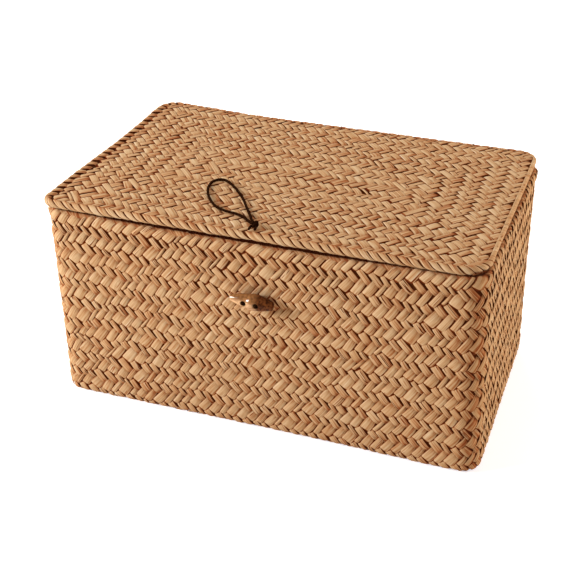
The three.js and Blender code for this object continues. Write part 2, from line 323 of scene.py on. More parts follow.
def add_range(tree, value, from_low, from_high, to_low=0.0, to_high=1.0):
    inputs = {0: value, 1: from_low, 2: from_high, 3: to_low, 4: to_high}
    return add_node(tree, "ShaderNodeMapRange", inputs, interpolation_type="SMOOTHSTEP").outputs[0]


def seen_by(tree, *rays):
    """1 for two kinds of rays, and 0 for the others."""
    path = add_node(tree, "ShaderNodeLightPath")
    return add_math(tree, "MAXIMUM", *[path.outputs[f"Is {ray} Ray"] for ray in rays])


def new_material(name, look):
    """A material without gloss but for what its look says, which gives the inputs of its shader."""
    material = bpy.data.materials.new(name)
    material.use_nodes = True
    tree = material.node_tree
    set_inputs(tree, tree.nodes["Principled BSDF"], {"Specular IOR Level": 0.0, **look(tree)})
    return material


# The borders of a strip darkened as painted shade: whether each is measured along it (0) or across it
# (1), where it is clear, where it is darkest and how dark it is there. The far side has a ragged border.
SHADED_BORDERS = ((1, 0.12, 0.03, 0.8), (0, 0.2, 0.12, 1.0), (0, 0.56, 0.94, 0.42))
RAGGED_BORDER = (0.84, 0.94)
RAGGEDNESS = 0.12

# Painted light: how much lighter a strip is beside its shaded side, over what stretch, and at its near end
# and side
LIGHT_BORDER = 0.1
LIGHT_STRETCH = (0.3, 0.1)
LIGHT_ALONG_AND_ACROSS = (0.12, 0.14)

# The streaks of a strip: how many there are along and across it, and how much detail they have
FIBRE_STREAKS = (0.7, 8.0, 2.0)
SLIT_STREAKS = (0.9, 7.0, 1.0)
PATCH_STREAKS = (2.4, 1.4, 2.0)
STREAK_ROUGHNESS = 0.6
SLIT_BORDER = (0.62, 0.70)
SEED_SPREAD = 91.0


def leaf_fibre_group():
    """Fibres and slits along one strip, and its painted light and painted shade at its borders, from its UV
    map.
    """
    group = bpy.data.node_groups.new("leaf_fibres", "ShaderNodeTree")
    for name, kind in (("Strip", "NodeSocketVector"), ("Seed", "NodeSocketFloat")):
        group.interface.new_socket(name, in_out="INPUT", socket_type=kind)
    start = add_node(group, "NodeGroupInput")
    parts = add_node(group, "ShaderNodeSeparateXYZ", {0: start.outputs["Strip"]})
    along, across = parts.outputs[0], parts.outputs[1]
    place = add_math(group, "MULTIPLY", start.outputs["Seed"], SEED_SPREAD)

    def streaks(scale_along, scale_across, detail):
        where = add_node(group, "ShaderNodeCombineXYZ", {
            0: add_math(group, "MULTIPLY", along, scale_along),
            1: add_math(group, "MULTIPLY", across, scale_across),
            2: place,
        }).outputs[0]
        return add_noise(group, where, 1.0, detail, Roughness=STREAK_ROUGHNESS)

    fibres = streaks(*FIBRE_STREAKS)
    ragged = add_math(group, "MULTIPLY", add_math(group, "SUBTRACT", fibres, 0.5), RAGGEDNESS)
    shade = add_range(group, add_math(group, "ADD", across, ragged), *RAGGED_BORDER)
    for way, clear, dark, most in SHADED_BORDERS:
        border = add_range(group, parts.outputs[way], clear, dark, 0.0, most)
        shade = add_math(group, "MAXIMUM", shade, border)
    light = add_range(group, across, *LIGHT_STRETCH, -LIGHT_BORDER / 2, LIGHT_BORDER / 2)
    for way, change in enumerate(LIGHT_ALONG_AND_ACROSS):
        lighter = add_range(group, parts.outputs[way], 0.0, 1.0, change / 2, -change / 2)
        light = add_math(group, "ADD", light, lighter)
    made = {
        "Fibres": fibres,
        "Slits": add_range(group, streaks(*SLIT_STREAKS), *SLIT_BORDER),
        "Shade": shade,
        "Light": light,
        "Patches": streaks(*PATCH_STREAKS),
    }
    for name in made:
        group.interface.new_socket(name, in_out="OUTPUT", socket_type="NodeSocketFloat")
    add_node(group, "NodeGroupOutput", made)
    return group


# The colours of the leaf from its darkest to its lightest, each at its share of the way
LEAF_COLOURS = (
    (0.0, (0.05, 0.006, 0.0015)), (0.15, (0.18, 0.040, 0.0125)), (0.32, (0.335, 0.116, 0.043)),
    (0.5, (0.466, 0.262, 0.124)), (0.75, (0.568, 0.386, 0.222)), (1.0, (0.66, 0.52, 0.36)),
)


def leaf_colours(tree, lightness):
    ramp = add_node(tree, "ShaderNodeValToRGB", {0: lightness})
    stops = ramp.color_ramp.elements
    stops.remove(stops[1])
    for place, colour in LEAF_COLOURS:
        stop = stops[0] if place == 0 else stops.new(place)
        stop.color = (*colour, 1)
    return ramp.outputs[0]


# A faint painted glow on the leaf and the sheet under it, in place of light through the thin leaf, so
# that its gaps are brown and not black
PAINTED_GLOW = {"Emission Color": (1, 0.23, 0.1, 1), "Emission Strength": 0.014}

# How much the fibres and patches of a strip change its lightness, and what is left of it in its slits
# and where its painted shade is darkest
LEAF_MOTTLE = {"Fibres": 1.2, "Patches": 0.14}
LEAF_DARKEST = 0.06

# The darkest and lightest colour of the other stuffs, the first being the painted shade in the gaps of the
# plait
GAP_SHADE_COLOURS = ((0.035, 0.009, 0.0025, 1), (0.09, 0.025, 0.007, 1))
CORD_COLOURS = ((0.008, 0.0028, 0.001, 1), (0.028, 0.009, 0.0035, 1))
TOGGLE_PALE = ((0.42, 0.20, 0.08, 1), (0.66, 0.39, 0.19, 1))
TOGGLE_BROWN = ((0.17, 0.065, 0.02, 1), (0.33, 0.145, 0.05, 1))
TOGGLE_DARK = ((0.045, 0.011, 0.003, 1), (0.18, 0.055, 0.015, 1))


def leaf_look(tree):
    """Dried leaf: tan strips with fibres along them, each a little lighter or darker, with painted light
    and shade at its borders.
    """
    uv = add_node(tree, "ShaderNodeUVMap", uv_map="strip")
    own = add_node(tree, "ShaderNodeAttribute", attribute_name="strip_tone")
    tone = add_node(tree, "ShaderNodeSeparateColor", {0: own.outputs["Color"]})
    inputs = {"Strip": uv.outputs[0], "Seed": tone.outputs[1]}
    grain = add_node(tree, "ShaderNodeGroup", inputs, node_tree=leaf_fibre_group()).outputs
    # Painted light beside the strip's borders and painted shade at them, as strong as its sides say
    light = add_math(tree, "MULTIPLY", own.outputs["Alpha"], grain["Light"])
    lightness = add_math(tree, "ADD", tone.outputs[0], light)
    for name, share in LEAF_MOTTLE.items():
        change = add_math(tree, "MULTIPLY", add_math(tree, "SUBTRACT", grain[name], 0.5), share)
        lightness = add_math(tree, "ADD", lightness, change)
    shade = add_math(tree, "MULTIPLY", own.outputs["Alpha"], grain["Shade"])
    slit = add_math(tree, "MULTIPLY", grain["Slits"], tone.outputs[2], clamp=True)
    clear = add_range(tree, add_math(tree, "MAXIMUM", shade, slit), 0.0, 1.0, 1.0, LEAF_DARKEST)
    relief = add_math(tree, "SUBTRACT", grain["Fibres"], slit)
    return {
        "Base Color": leaf_colours(tree, add_math(tree, "MULTIPLY", lightness, clear)),
        "Roughness": add_range(tree, grain["Fibres"], 0.2, 0.8, 0.42, 0.65),
        "Normal": add_bump(tree, 0.6, 0.3 * MM, relief),
        **PAINTED_GLOW,
    }


def gap_shade_look(tree):
    """Painted shade: a dark sheet in place of the shaded strips beneath, seen only through the gaps of the
    plait.
    """
    where = add_node(tree, "ShaderNodeTexCoord").outputs["Object"]
    colour = add_mix(tree, add_noise(tree, where, 900.0, 3.0), *GAP_SHADE_COLOURS)
    return {"Base Color": colour, "Roughness": 0.8, **PAINTED_GLOW}


def cord_look(tree):
    """Waxed dark brown cord with fine fibres."""
    where = add_node(tree, "ShaderNodeTexCoord").outputs["Object"]
    fibres = add_noise(tree, where, 2600.0, 4.0)
    return {
        "Base Color": add_mix(tree, fibres, *CORD_COLOURS),
        "Roughness": add_range(tree, fibres, 0.3, 0.7, 0.55, 0.75),
        "Normal": add_bump(tree, 0.4, 0.1 * MM, fibres),
    }


def wood_look(tree):
    """Polished wood: pale below and on the left, brown along the top and mottled at the right end."""
    where = add_node(tree, "ShaderNodeTexCoord").outputs["Object"]
    own = add_node(tree, "ShaderNodeMapping", {"Vector": where, "Location": -TOGGLE_MIDDLE}).outputs[0]
    parts = add_node(tree, "ShaderNodeSeparateXYZ", {0: own})
    along = add_node(tree, "ShaderNodeMapping", {"Vector": own, "Scale": (90, 700, 700)}).outputs[0]
    grain = add_noise(tree, along, 1.0, 4.0, Distortion=0.6)
    mottle = add_noise(tree, own, 420.0, 3.0)
    uneven = add_math(tree, "MULTIPLY", add_math(tree, "SUBTRACT", mottle, 0.5), 6 * MM)
    high = add_range(tree, add_math(tree, "ADD", parts.outputs[2], uneven), 0.4 * MM, 3 * MM)
    right = add_range(tree, add_math(tree, "ADD", parts.outputs[0], uneven), 2 * MM, 7 * MM)
    pale = add_mix(tree, add_range(tree, grain, 0.3, 0.7), *TOGGLE_PALE)
    brown = add_mix(tree, add_range(tree, mottle, 0.35, 0.65), *TOGGLE_BROWN)
    dark = add_mix(tree, add_range(tree, mottle, 0.38, 0.6), *TOGGLE_DARK)
    return {
        "Base Color": add_mix(tree, right, add_mix(tree, high, pale, brown), dark),
        "Roughness": add_range(tree, grain, 0.2, 0.8, 0.24, 0.42),
        "Normal": add_bump(tree, 0.35, 0.2 * MM, grain),
        "Specular IOR Level": 0.04,
        "Coat Weight": add_range(tree, right, 0, 1, 0.7, 0.06),
        "Coat Roughness": 0.1,
    }


leaf = new_material("plaited_leaf", leaf_look)
gaps = new_material("painted_gap_shade", gap_shade_look)
cord = new_material("waxed_cord", cord_look)
wood = new_material("toggle_wood", wood_look)


# The loop that closes the box. Its route lies on the lid from the knot and back to it.

KNOT_STEM = (-1.6 * MM, LID_LOW.y + 11 * MM)
KNOT_SIZE = (5.6 * MM, 6.2 * MM, 4.4 * MM)
LOOP_LYING_Z = LID_FIELD_TOP + CLEARANCE + CORD_RADIUS
KNOT_CENTRE_Z = LID_HIGH.z + CLEARANCE + KNOT_SIZE[2] / 2
LOOP_RISEN_Z = (LOOP_LYING_Z + KNOT_CENTRE_Z) / 2
LOOP_ROUTE = [
    (-0.0023, 0.0130), (-0.0060, 0.0161), (-0.0131, 0.0221), (-0.0205, 0.0256), (-0.0304, 0.0277),
    (-0.0394, 0.0323), (-0.0478, 0.0418), (-0.0546, 0.0534), (-0.0576, 0.0626), (-0.0580, 0.0718),
    (-0.0548, 0.0768), (-0.0506, 0.0773), (-0.0463, 0.0750), (-0.0361, 0.0652), (-0.0258, 0.0521),
    (-0.0164, 0.0370), (-0.0096, 0.0261), (-0.0043, 0.0176), (-0.0002, 0.0137),
]
LOOP_STEPS = 150


def make_loop():
    last = len(LOOP_ROUTE) - 1
    points = []
    for place, (along, back) in enumerate(LOOP_ROUTE):
        z = LOOP_RISEN_Z if place in (0, last) else LOOP_LYING_Z
        points.append((KNOT_STEM[0] + along, LID_LOW.y + back, z))
    route = smooth_route(points, LOOP_STEPS)
    mesh = to_mesh("closure_loop_cord", twisted_cord(route, CORD_RADIUS))
    piece = add_object(mesh, cord, "loop", "cord", "closure_loop")


make_loop()


KNOT_FORWARD = 1.5 * MM
KNOT_CENTRE = (KNOT_STEM[0], KNOT_STEM[1] - KNOT_FORWARD, KNOT_CENTRE_Z)
KNOT_STRAND_RADIUS = 0.9 * MM
STOP_KNOT_SIZE = 3.6 * MM
STOP_KNOT_Z = LID_FIELD_BOTTOM - CLEARANCE - STOP_KNOT_SIZE / 2
SMALL_STRAND_RADIUS = 0.6 * MM
TAIL_Z = LID_HIGH.z + CLEARANCE + CORD_RADIUS
TAIL_LENGTHS = {-1: 6.2 * MM, 1: 5.4 * MM}
TAIL_SPREAD = 2 * MM
TAIL_STEPS = 16


def make_loop_knot():
    """The knot on the lid with its two tails, and the stem through the lid to the knot below."""
    x, y, z = KNOT_CENTRE
    parts = [overhand_knot(KNOT_CENTRE, KNOT_SIZE, KNOT_STRAND_RADIUS)]
    for side, length in TAIL_LENGTHS.items():
        tail_x = x + side * TAIL_SPREAD
        points = [(x, y, TAIL_Z + CORD_RADIUS), (tail_x, y - length / 2, TAIL_Z + CORD_RADIUS / 2),
                  (tail_x, y - length, TAIL_Z)]
        parts.append(twisted_cord(smooth_route(points, TAIL_STEPS), KNOT_STRAND_RADIUS))
    stem = [(*KNOT_STEM, z), (*KNOT_STEM, (z + STOP_KNOT_Z) / 2), (*KNOT_STEM, STOP_KNOT_Z)]
    parts.append(twisted_cord(smooth_route(stem, TAIL_STEPS), CORD_RADIUS))
    parts.append(overhand_knot((*KNOT_STEM, STOP_KNOT_Z), [STOP_KNOT_SIZE] * 3, SMALL_STRAND_RADIUS))
    add_object(to_mesh("loop_knot_cord", joined(*parts)), cord, "lid", "cord", "loop_knot")


make_loop_knot()


TIE_RADIUS = 4.8 * MM
TIE_STEPS = 48


def make_hinge_ties():
    """Rings of cord that hold the lid to the back wall."""
    turn = np.arange(TIE_STEPS) / TIE_STEPS * math.tau
    for side, x in TIES.items():
        ring = np.stack([np.full(TIE_STEPS, x), HINGE[1] + TIE_RADIUS * np.cos(turn),
                         HINGE[2] + TIE_RADIUS * np.sin(turn)], -1)
        mesh = to_mesh(f"hinge_tie_{side}_cord", twisted_cord(ring, CORD_RADIUS, closed=True))
        add_object(mesh, cord, "box", "cord", f"hinge_tie_{side}")


make_hinge_ties()


# The toggle, a turned spindle with two holes, and the cord that sews it to the wall

TOGGLE_HALF = (TOGGLE_HIGH.x - TOGGLE_LOW.x) / 2
TOGGLE_END_RADIUS = 3.3 * MM
TOGGLE_END_ROUNDING = 1.4 * MM
TOGGLE_HOLES = (-5 * MM, 5 * MM)
TOGGLE_SEAT_RADIUS = 2 * MM
TOGGLE_SEAT_DEPTH = 3.4 * MM
TOGGLE_SEAT_FLARE = 0.6 * MM
TOGGLE_BORE_RADIUS = 1.3 * MM
TOGGLE_KNOT_SIZE = 3.4 * MM
TOGGLE_STEPS = 28
TOGGLE_TURN_STEPS = 64
HOLE_TURN_STEPS = 24
TOGGLE_UNEVENNESS = 0.35 * MM
TOGGLE_DENTS = {5 * MM: 1.0, 1.8 * MM: 0.4}
TOGGLE_ROUGH_FROM = 0.6
TOGGLE_ROUGHENING = 1.5
TOGGLE_SHOULDER = 0.8 * MM
TOGGLE_SHOULDER_X = (-2.6 * MM, 0 * MM)
TOGGLE_TILT = math.radians(3)
TOGGLE_SHARP_EDGE = math.radians(35)
TOGGLE_CORD_BEND = 1.5 * MM
TOGGLE_CORD_BEND_CUT = 0.3 * TOGGLE_CORD_BEND
TOGGLE_CORD_STEPS = 60


def toggle_radius(x):
    """The toggle's radius at a place along it."""
    full = (TOGGLE_HIGH.z - TOGGLE_LOW.z) / 2
    thin, thick = TOGGLE_SHOULDER_X
    thinner = TOGGLE_SHOULDER * (1 - smooth_step((x - thin) / (thick - thin)))
    fuller = (full - TOGGLE_END_RADIUS) * math.cos(x / TOGGLE_HALF * math.pi / 2)
    return TOGGLE_END_RADIUS + fuller - thinner


def lathe(profile, steps):
    """A closed shape turned about the X axis, from a profile of points along it and out from it."""
    bm = bmesh.new()
    verts = [bm.verts.new((along, out, 0)) for along, out in profile]
    edges = [bm.edges.new(pair) for pair in zip(verts, verts[1:])]
    bmesh.ops.spin(bm, geom=verts + edges, axis=(1, 0, 0), cent=(0, 0, 0), angle=math.tau, steps=steps,
                   use_merge=True)
    bmesh.ops.remove_doubles(bm, verts=bm.verts, dist=WELD_DISTANCE)
    bmesh.ops.recalc_face_normals(bm, faces=bm.faces)
    return bm


def turn_and_move(bm, angle, axis, place):
    bmesh.ops.rotate(bm, verts=bm.verts, cent=(0, 0, 0), matrix=Matrix.Rotation(angle, 3, axis))
    bmesh.ops.translate(bm, verts=bm.verts, vec=place)


def bored(mesh, cutter):
    """The mesh with the cutter's shape taken out of it."""
    body, tool = [new_object("boring", part) for part in (mesh, cutter)]
    hole = body.modifiers.new("hole", "BOOLEAN")
    hole.object = tool
    hole.solver = "EXACT"
    result = bpy.data.meshes.new_from_object(body.evaluated_get(bpy.context.evaluated_depsgraph_get()))
    for piece in (body, tool):
        bpy.data.objects.remove(piece)
    return result


def toggle_blank():
    """The toggle before it is bored, a little uneven all over and roughest at its right end."""
    half = TOGGLE_HALF
    profile = [(-half, 0), (-half, toggle_radius(-half) - TOGGLE_END_ROUNDING)]
    for along in np.linspace(-1, 1, TOGGLE_STEPS + 1) * (half - TOGGLE_END_ROUNDING / 2):
        profile.append((along, toggle_radius(along)))
    profile += [(half, toggle_radius(half) - TOGGLE_END_ROUNDING), (half, 0)]
    bm = lathe(profile, TOGGLE_TURN_STEPS)
    for vert in bm.verts:
        out = Vector((0, vert.co.y, vert.co.z))
        rough = 1 + TOGGLE_ROUGHENING * max(0, vert.co.x / half - TOGGLE_ROUGH_FROM)
        dent = sum(share * noise.noise(vert.co / size) for size, share in TOGGLE_DENTS.items())
        vert.co -= out.normalized() * TOGGLE_UNEVENNESS * rough * (1 + dent) / 2
    turn_and_move(bm, TOGGLE_TILT, "Y", TOGGLE_MIDDLE)
    return to_mesh("toggle_blank", bm)


def toggle_hole(x):
    """The tool for one hole: a flared mouth, a seat for the knot and a bore for the cord."""
    reach = TOGGLE_HIGH.z - TOGGLE_LOW.z
    mouth = toggle_radius(x) - TOGGLE_UNEVENNESS / 2
    seat = mouth - TOGGLE_SEAT_DEPTH
    wide = TOGGLE_SEAT_RADIUS + TOGGLE_SEAT_FLARE
    profile = [
        (-reach, 0), (-reach, TOGGLE_BORE_RADIUS), (seat, TOGGLE_BORE_RADIUS),
        (seat, TOGGLE_SEAT_RADIUS), (mouth - TOGGLE_SEAT_FLARE, TOGGLE_SEAT_RADIUS),
        (mouth, wide), (reach, wide), (reach, 0),
    ]
    bm = lathe(profile, HOLE_TURN_STEPS)
    turn_and_move(bm, -math.pi / 2, "Z", TOGGLE_MIDDLE + Vector((x, 0, 0)))
    return to_mesh("toggle_hole", bm)


def make_toggle():
    mesh = toggle_blank()
    for x in TOGGLE_HOLES:
        mesh = bored(mesh, toggle_hole(x))
    mesh.name = "toggle_spindle"
    mesh.shade_smooth()
    mesh.set_sharp_from_angle(angle=TOGGLE_SHARP_EDGE)
    add_object(mesh, wood, "box", "toggle_wood", "toggle_button")


def make_toggle_cord():
    """The cord between the two knots, which crosses the inside of the front wall."""
    z = TOGGLE_MIDDLE.z
    front = -(BASE_DEPTH + (RIM_DEPTH - BASE_DEPTH) * z / BODY_HEIGHT) / 2
    bend = TOGGLE_CORD_BEND
    cut = TOGGLE_CORD_BEND_CUT
    inner = front + WALL + CLEARANCE + bend
    knots = []
    for x in TOGGLE_HOLES:
        floor = TOGGLE_MIDDLE.y - toggle_radius(x) + TOGGLE_SEAT_DEPTH
        knots.append((x, floor - CLEARANCE - TOGGLE_KNOT_SIZE / 2, z))
    left, right = TOGGLE_HOLES
    turn = [(0, front), (0, inner - bend), (cut, inner - cut), (bend, inner)]
    going = [(left + inwards, y, z) for inwards, y in turn]
    coming = [(right - inwards, y, z) for inwards, y in reversed(turn)]
    points = [knots[0], *going, (0, inner, z), *coming, knots[1]]
    parts = [twisted_cord(smooth_route(points, TOGGLE_CORD_STEPS), CORD_RADIUS)]
    for knot in knots:
        parts.append(overhand_knot(knot, [TOGGLE_KNOT_SIZE] * 3, SMALL_STRAND_RADIUS))
    add_object(to_mesh("toggle_sewing", joined(*parts)), cord, "box", "cord", "toggle_cord")


make_toggle()
make_toggle_cord()


# Surfaces that the plait lies on. Each gives points from a place on it and a height above it.

# Each leg of an outline goes from one corner to another, and turns by quarters. The last corner is
# the middle of the front side.
CORNERS = np.array([(1, -1), (1, 1), (-1, 1), (-1, -1), (0, -1)], float)
LEGS = np.array([
    (4, 0, -1, -1), (0, 0, -1, 0), (0, 1, 0, 0), (1, 1, 0, 1), (1, 2, 1, 1),
    (2, 2, 1, 2), (2, 3, 2, 2), (3, 3, 2, 3), (3, 4, 3, 3),
])


class RoundRectangle:
    """A rectangle with rounded corners, walked anticlockwise from the middle of its front side."""

    def __init__(self, length, depth, radii):
        self.radii = np.array([*radii, radii[0]])
        half = np.array([length / 2, depth / 2])
        centres = CORNERS * (half - self.radii[:, None])
        legs = []
        for start, end, turn, turned in LEGS:
            angle = turn * math.pi / 2
            out = np.array([math.cos(angle), math.sin(angle)])
            run = centres[end] + self.radii[end] * out - centres[start] - self.radii[start] * out
            legs.append(np.linalg.norm(run) if turn == turned else self.radii[start] * math.pi / 2)
        self.marks = np.concatenate([[0], np.cumsum(legs)])
        self.girth = self.marks[-1]

    def place(self, distance, length, depth, inset):
        """Points at a distance round this outline, set on one of another size and drawn in by the inset."""
        distance = np.mod(distance, self.girth)
        leg = np.clip(np.searchsorted(self.marks, distance, side="right") - 1, 0, len(LEGS) - 1)
        share = (distance - self.marks[leg]) / (self.marks[leg + 1] - self.marks[leg])
        start, end, turn, turned = np.moveaxis(LEGS[leg], -1, 0)
        angle = (turn + (turned - turn) * share) * math.pi / 2
        radius = self.radii[start] + (self.radii[end] - self.radii[start]) * share - inset
        places = []
        for axis, size, out in ((0, length, np.cos(angle)), (1, depth, np.sin(angle))):
            from_middle = CORNERS[start, axis] * (size / 2 - self.radii[start])
            to_middle = CORNERS[end, axis] * (size / 2 - self.radii[end])
            places.append(from_middle + (to_middle - from_middle) * share + radius * out)
        return places


class Profile:
    """A section through a wall: how far in from the outline and how high, along its own length."""

    def __init__(self, points, zero):
        points = np.array(points, float)
        steps = np.linalg.norm(np.diff(points, axis=0), axis=1)
        self.rise = np.concatenate([[0], np.cumsum(steps)])
        self.rise -= self.rise[zero]
        ahead = np.gradient(points, self.rise, axis=0)
        ahead /= np.linalg.norm(ahead, axis=1)[:, None]
        self.traits = np.hstack([points, ahead]).T

    def place(self, rise, height):
        inset, z, ahead_in, ahead_up = [np.interp(rise, self.rise, trait) for trait in self.traits]
        return inset - height * ahead_up, z + height * ahead_in


def arc(centre, reach, start, end, steps):
    """Points on a quarter or half of an ellipse, by its angle in quarter turns."""
    angles = np.linspace(start, end, steps + 1) * math.pi / 2
    return [(centre[0] + reach[0] * math.cos(a), centre[1] + reach[1] * math.sin(a)) for a in angles]


ARC_STEPS = 10
UNDERSIDE_REACH = 14 * MM
UNDERSIDE_LEVEL = 0.6 * MM
RIM_ROLL = 0.9 * MM
RIM_ROLL_DEPTH = 9 * MM
RIM_ROLL_HALFWAY = 0.6
EDGE_TUCK = 0.3 * MM
EDGE_END_HEIGHT = 0.4 * MM


def body_profile():
    """From the underside up the outer face, over the rim and down the inner face to the floor."""
    edge = BASE_EDGE_RADIUS
    foot = BODY_HEIGHT - RIM_FOLD_HEIGHT
    inner = FLOOR_EDGE_RADIUS
    points = [(UNDERSIDE_REACH, UNDERSIDE_LEVEL)]
    points += arc((edge, edge), (edge, edge - UNDERSIDE_LEVEL), -1, -2, ARC_STEPS)
    points += [(0.0, foot - RIM_ROLL_DEPTH), (-RIM_ROLL_HALFWAY * RIM_ROLL, foot - RIM_ROLL_DEPTH / 2)]
    points += arc((WALL / 2, foot), (WALL / 2 + RIM_ROLL, RIM_FOLD_HEIGHT), 2, 1, ARC_STEPS)
    crown = len(points) - 1
    points += arc((WALL / 2, foot), (WALL / 2, RIM_FOLD_HEIGHT), 1, 0, ARC_STEPS)[1:]
    points += arc((WALL + inner, WALL + inner), (inner, inner), 2, 3, ARC_STEPS)
    points += [(UNDERSIDE_REACH, WALL)]
    return Profile(points, crown)


def lid_edge_profile():
    """From under the lid round its edge to the top, with both ends tucked into the plait."""
    radius = LID_EDGE_RADIUS
    near = radius + min(EDGE_WRAPS) * MM
    reach = radius + max(EDGE_WRAPS) * MM
    points = [(near, LID_LOW.z + EDGE_TUCK)]
    points += arc((radius, LID_MIDDLE_Z), (radius, radius), 3, 1, 2 * ARC_STEPS)
    points += [(near, LID_HIGH.z - EDGE_TUCK), (reach, LID_FIELD_TOP + EDGE_END_HEIGHT)]
    return Profile(points, 1 + ARC_STEPS)


def lid_core_profile():
    """From inside the lid round its edge and back, just under the strips."""
    radius = LID_EDGE_RADIUS
    reach = radius - EDGE_CORE_DEPTH
    low = LID_FIELD_BOTTOM + LID_CORE_DEPTH
    high = LID_FIELD_TOP - LID_CORE_DEPTH
    points = [(CORE_WRAP, low), (2 * radius, low)]
    points += arc((radius, LID_MIDDLE_Z), (reach, reach), 3, 1, 2 * ARC_STEPS)
    points += [(2 * radius, high), (CORE_WRAP, high)]
    return Profile(points, 2 + ARC_STEPS)


mean_length = (BASE_LENGTH + RIM_LENGTH) / 2
mean_depth = (BASE_DEPTH + RIM_DEPTH) / 2
wall_outline = RoundRectangle(mean_length, mean_depth, [CORNER_RADIUS] * 4)
wall_profile = body_profile()
lid_outline = RoundRectangle(LID_LENGTH, LID_DEPTH, LID_CORNER_RADII)
edge_profile = lid_edge_profile()
core_profile = lid_core_profile()


# A hand-made box isn't quite square. Its rim hangs a little below the lid, most along the front and at
# the right, and is drawn in along the back. Its left end leans in towards the back, its back left
# corner stands higher, and its foot spreads at the right.
RIM_GAP = 0.25 * MM
RIM_RIGHT_GAP = 1.8 * MM
RIM_SAG = 2.1 * MM
RIM_SAG_X = -10 * MM
RIM_SAG_HALF = 125 * MM
RIM_SAG_DEPTHS = {60 * MM: 0.55, 7 * MM: 0.45}
LID_LEFT_FRONT = -1.4 * MM
LID_LEFT_BACK = 5.5 * MM
LID_RIGHT_FRONT = -1.5 * MM
BODY_LEFT_FRONT = -0.8 * MM
BODY_LEFT_BACK = 4.5 * MM
BODY_RIGHT_FRONT = -1 * MM
BODY_RIGHT_BACK = 1 * MM
BACK_LEFT_LIFT = 3 * MM
LIFT_START_X = 60 * MM
LIFT_RUN = 110 * MM
BACK_DRAWN_IN = 1.6 * MM
BACK_DRAWN_DEPTH = 28 * MM
FOOT_RIGHT = 1.5 * MM
FOOT_FRONT = -2.5 * MM


def shares_of_box(points):
    """How far each point lies to the left and right, and how near the front and back, from 0 to 1."""
    x, y = points[..., 0] / (LID_LENGTH / 2), points[..., 1] / (LID_DEPTH / 2)
    return smooth_step(-x), smooth_step(x), smooth_step((1 - y) / 2), smooth_step((1 + y) / 2)


def corner_lift(points):
    far_left = smooth_step((-points[..., 0] - LIFT_START_X) / LIFT_RUN)
    return BACK_LEFT_LIFT * far_left * smooth_step(2 * points[..., 1] / LID_DEPTH)


def settle_body(points):
    left, right, front, back = shares_of_box(points)
    z = points[..., 2].copy()
    up = np.clip(z / BODY_HEIGHT, 0, 1)
    down = 1 - up
    sag = RIM_SAG * front ** 6 * np.exp(-(((points[..., 0] - RIM_SAG_X) / RIM_SAG_HALF) ** 4))
    at_back = smooth_step(4 * back - 3)
    gap = RIM_GAP * (1 - at_back) + RIM_RIGHT_GAP * right ** 4 * np.sqrt(4 * front * back)
    below = z - BODY_HEIGHT
    near_rim = sum(share * smooth_step(below / depth + 1) for depth, share in RIM_SAG_DEPTHS.items())
    points[..., 2] += corner_lift(points) * up - (sag + gap) * near_rim
    points[..., 0] += left * up ** 2 * (BODY_LEFT_FRONT * front + BODY_LEFT_BACK * back)
    points[..., 0] += right * up ** 2 * (BODY_RIGHT_FRONT * front + BODY_RIGHT_BACK * back)
    points[..., 0] += right * down ** 2 * FOOT_RIGHT
    points[..., 1] += right * front * down ** 2 * FOOT_FRONT
    points[..., 1] -= BACK_DRAWN_IN * at_back * smooth_step(below / BACK_DRAWN_DEPTH + 1)
    return points


def settle_lid(points):
    left, right, front, back = shares_of_box(points)
    points[..., 2] += corner_lift(points)
    points[..., 0] += left * (LID_LEFT_FRONT * front + LID_LEFT_BACK * back)
    points[..., 0] += right * front * LID_RIGHT_FRONT
    return points


def wall_surface(around, rise, height):
    inset, z = wall_profile.place(rise, height)
    share = z / BODY_HEIGHT
    length = BASE_LENGTH + (RIM_LENGTH - BASE_LENGTH) * share
    depth = BASE_DEPTH + (RIM_DEPTH - BASE_DEPTH) * share
    x, y = wall_outline.place(around, length, depth, inset)
    return settle_body(np.stack([x, y, z], -1))


def lid_edge_surface(profile):
    def surface(around, rise, height):
        inset, z = profile.place(rise, height)
        x, y = lid_outline.place(around, LID_LENGTH, LID_DEPTH, inset)
        return settle_lid(np.stack([x, y + LID_CENTRE_Y, z], -1))
    return surface


def flat_surface(level, facing, centre, settle):
    """A level sheet that faces up (1) or down (-1), with the settling of the body or the lid."""
    def surface(across, back, height):
        z = np.full_like(height, level) + facing * height
        return settle(np.stack([across + centre[0], facing * back + centre[1], z], -1))
    return surface


# Strips

def runs_of(crossings, top):
    """Where each strip lies on top: its first and last crossing, and which way it slants.

    crossings is the set of places where two strips cross, and top gives 1 where the strip that
    rises to the right is on top and -1 where the one that falls is."""
    found = []
    for column, row in sorted(crossings):
        slant = top(column, row)
        before = (column - 1, row - slant)
        if before in crossings and top(*before) == slant:
            continue
        count = 1
        while True:
            ahead = (column + count, row + count * slant)
            if ahead not in crossings or top(*ahead) != slant:
                break
            count += 1
        found.append((column, row, count, slant))
    return np.array(found)


# How a plait is laid, each pair for the strips that fall and the strips that rise to the right. In
# millimetres, lift, bow, crown, tilt, dive and the ramps shape a strip from its middle to its sides and
# ends. It comes up steeply at its left end and goes down gently at its right end. turn is how much
# steeper than its crossings it lies, in radians. The rest are shares: fill and taper set its width,
# lightness, variety and slits its colour, and sides how dark its painted shade is at its sides and ends,
# less fading by chance.
WALL_PLAIT = {
    "lift": (0.15, 0.3), "bow": (0.1, 0.2), "crown": (0.45, 0.5), "tilt": (0.12, 0.2), "dive": (1.35, 1.4),
    "left_ramp": (1.2, 1.4), "right_ramp": (3.2, 3.4), "fill": (0.87, 1.04), "taper": (0.06, 0.14),
    "lightness": (0.595, 0.645), "variety": (0.03, 0.03), "slits": (1.0, 0.35), "sides": (1.35, 0.85),
    "fading": (0.25, 0.25), "turn": (0.11, 0.13),
}
RIM_PLAIT = {
    **WALL_PLAIT, "lift": (-0.5, -0.5), "crown": (0.2, 0.2), "dive": (0.6, 0.6), "fill": (1.15, 1.15),
    "lightness": (0.4, 0.4), "slits": (0.3, 0.3), "sides": (0.3, 0.3),
}
